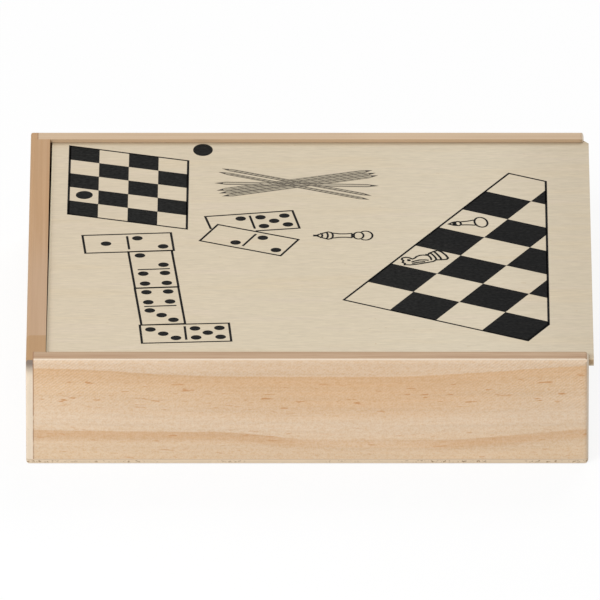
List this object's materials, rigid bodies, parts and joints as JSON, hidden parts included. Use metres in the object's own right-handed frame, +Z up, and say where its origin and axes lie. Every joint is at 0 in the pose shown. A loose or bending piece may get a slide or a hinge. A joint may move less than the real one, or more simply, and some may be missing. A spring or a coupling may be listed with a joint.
{
  "type": "games compendium box",
  "caption": "Flat wooden games box with a sliding printed lid, holding dominoes, pick-up sticks, draughts and chessmen in divided compartments.",
  "frame": {"origin": "middle of the underside of the case", "axes": "+X towards the open end that the lid slides out of, +Y towards the back wall, +Z up through the lid"},
  "size_m": [0.2018, 0.2, 0.0405],
  "materials": {
    "pine": "bare planed pine, matt",
    "lid_plywood": "bare pale plywood with black printing, matt",
    "base_plywood": "bare thin plywood, matt",
    "divider_wood": "bare sanded wood, matt",
    "tile_wood": "bare sanded wood with black pips, satin",
    "stick_wood": "bare turned wood with painted bands, satin",
    "light_wood": "turned wood, clear satin varnish",
    "dark_wood": "turned wood, dark stain, satin",
    "steel": "bright wire nail"
  },
  "bodies": {
    "case": {"base_panel": "base_plywood", "front_wall": "pine", "back_wall": "pine", "end_wall": "pine", "low_end_wall": "pine", "front_divider": "divider_wood", "back_divider": "divider_wood", "cross_divider": "divider_wood", "base_brads": "steel"},
    "lid": {"lid": "lid_plywood"},
    "dominoes": {"domino_0_0": "tile_wood", "domino_0_1": "tile_wood", "domino_0_2": "tile_wood", "domino_0_3": "tile_wood", "domino_0_4": "tile_wood", "domino_0_5": "tile_wood", "domino_0_6": "tile_wood", "domino_1_1": "tile_wood", "domino_1_2": "tile_wood", "domino_1_3": "tile_wood", "domino_1_4": "tile_wood", "domino_1_5": "tile_wood", "domino_1_6": "tile_wood", "domino_2_2": "tile_wood", "domino_2_3": "tile_wood", "domino_2_4": "tile_wood", "domino_2_5": "tile_wood", "domino_2_6": "tile_wood", "domino_3_3": "tile_wood", "domino_3_4": "tile_wood", "domino_3_5": "tile_wood", "domino_3_6": "tile_wood", "domino_4_4": "tile_wood", "domino_4_5": "tile_wood", "domino_4_6": "tile_wood", "domino_5_5": "tile_wood", "domino_5_6": "tile_wood", "domino_6_6": "tile_wood"},
    "sticks": {"sticks_20_points": "stick_wood", "sticks_10_points": "stick_wood", "sticks_5_points": "stick_wood", "sticks_3_points": "stick_wood", "sticks_2_points": "stick_wood"},
    "draughts": {"draughts_light": "light_wood", "draughts_dark": "dark_wood"},
    "chessmen": {"light_king": "light_wood", "light_queen": "light_wood", "light_bishop": "light_wood", "light_knight": "light_wood", "light_rook": "light_wood", "light_pawn": "light_wood", "dark_king": "dark_wood", "dark_queen": "dark_wood", "dark_bishop": "dark_wood", "dark_knight": "dark_wood", "dark_rook": "dark_wood", "dark_pawn": "dark_wood"}
  },
  "joints": [
    {"name": "lid_slide", "type": "slide", "parent": "case", "child": "lid", "axis": [1, 0, 0], "range_m": [-0.0018, 0.19]},
    {"name": "dominoes_lift", "type": "slide", "parent": "case", "child": "dominoes", "axis": [0, 0, 1], "range_m": [0, 0.002]},
    {"name": "sticks_lift", "type": "slide", "parent": "case", "child": "sticks", "axis": [0, 0, 1], "range_m": [0, 0.0098]},
    {"name": "draughts_lift", "type": "slide", "parent": "case", "child": "draughts", "axis": [0, 0, 1], "range_m": [0, 0.0013]},
    {"name": "chessmen_lift", "type": "slide", "parent": "case", "child": "chessmen", "axis": [0, 0, 1], "range_m": [0, 0.0016]}
  ]
}
